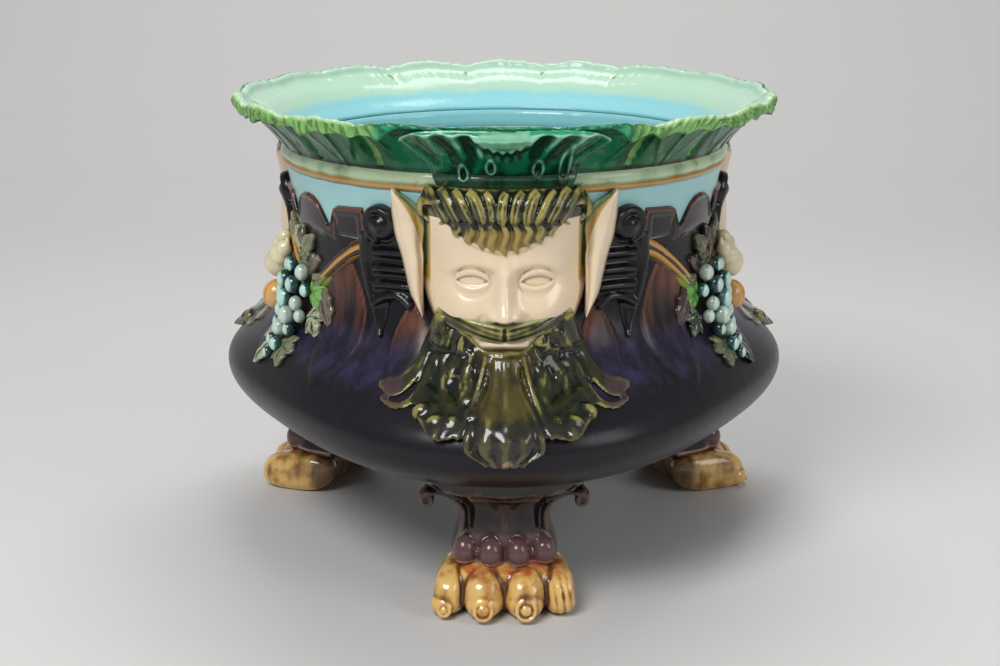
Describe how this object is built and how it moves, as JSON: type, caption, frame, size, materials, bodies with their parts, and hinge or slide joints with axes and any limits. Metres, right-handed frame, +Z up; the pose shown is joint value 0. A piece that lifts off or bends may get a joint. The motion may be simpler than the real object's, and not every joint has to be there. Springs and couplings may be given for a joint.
{
  "type": "footed jardiniere",
  "caption": "Glazed earthenware jardiniere with a flared leaf-edged rim, bearded mask reliefs, fruit festoons and lion-paw feet.",
  "frame": {"origin": "centre of the footprint box on the surface the paws stand on; the bowl's axis is 13.3 mm behind it, at +Y", "axes": "+Z up along the bowl's axis, the front mask faces -Y, +X to the viewer's right"},
  "size_m": [0.3328, 0.3326, 0.2547],
  "materials": {
    "body_glaze": "satin aubergine-black lead glaze",
    "inner_glaze": "gloss turquoise lead glaze",
    "base_glaze": "satin brown lead glaze",
    "moulding_glaze": "gloss mottled green and brown lead glaze",
    "collar_glaze": "gloss green lead glaze, pooled dark in the hollows",
    "crown_glaze": "gloss emerald lead glaze",
    "cream_glaze": "gloss cream lead glaze",
    "hair_glaze": "gloss olive lead glaze, black in the grooves",
    "beard_glaze": "gloss olive-brown lead glaze",
    "bracket_glaze": "gloss black lead glaze",
    "ribbon_glaze": "gloss ochre lead glaze",
    "strap_glaze": "gloss brown lead glaze",
    "grape_glaze": "gloss turquoise and white lead glaze",
    "leaf_glaze": "gloss green lead glaze",
    "pear_glaze": "gloss cream lead glaze",
    "peach_glaze": "gloss orange-ochre lead glaze",
    "leg_glaze": "gloss purple-brown lead glaze",
    "paw_glaze": "gloss amber lead glaze with iron-red spots"
  },
  "bodies": {
    "root": {"bowl": "body_glaze", "base_ring": "base_glaze", "neck_moulding": "moulding_glaze", "leaf_collar": "collar_glaze", "crown_leaf_front": "crown_glaze", "crown_leaf_right": "crown_glaze", "crown_leaf_left": "crown_glaze", "mask_front": "cream_glaze", "mask_right": "cream_glaze", "mask_left": "cream_glaze", "ear_front_l": "cream_glaze", "ear_front_r": "cream_glaze", "ear_right_l": "cream_glaze", "ear_right_r": "cream_glaze", "ear_left_l": "cream_glaze", "ear_left_r": "cream_glaze", "hair_front": "hair_glaze", "hair_right": "hair_glaze", "hair_left": "hair_glaze", "moustache_front": "hair_glaze", "moustache_right": "hair_glaze", "moustache_left": "hair_glaze", "beard_front": "beard_glaze", "beard_right": "beard_glaze", "beard_left": "beard_glaze", "bracket_front_l": "bracket_glaze", "bracket_front_r": "bracket_glaze", "bracket_right_l": "bracket_glaze", "bracket_right_r": "bracket_glaze", "bracket_left_l": "bracket_glaze", "bracket_left_r": "bracket_glaze", "ribbon_front_l": "ribbon_glaze", "ribbon_front_r": "ribbon_glaze", "ribbon_right_l": "ribbon_glaze", "ribbon_right_r": "ribbon_glaze", "ribbon_left_l": "ribbon_glaze", "ribbon_left_r": "ribbon_glaze", "leg_front": "leg_glaze", "leg_right": "leg_glaze", "leg_left": "leg_glaze", "paw_front": "paw_glaze", "paw_right": "paw_glaze", "paw_left": "paw_glaze", "vine_leaves_front_right": "leaf_glaze", "vine_leaves_back": "leaf_glaze", "vine_leaves_front_left": "leaf_glaze", "grapes_front_right": "grape_glaze", "grapes_back": "grape_glaze", "grapes_front_left": "grape_glaze", "pear_front_right": "pear_glaze", "pear_back": "pear_glaze", "pear_front_left": "pear_glaze", "peach_front_right": "peach_glaze", "peach_back": "peach_glaze", "peach_front_left": "peach_glaze", "strapwork_front_right": "strap_glaze", "strapwork_back": "strap_glaze", "strapwork_front_left": "strap_glaze"}
  },
  "joints": []
}
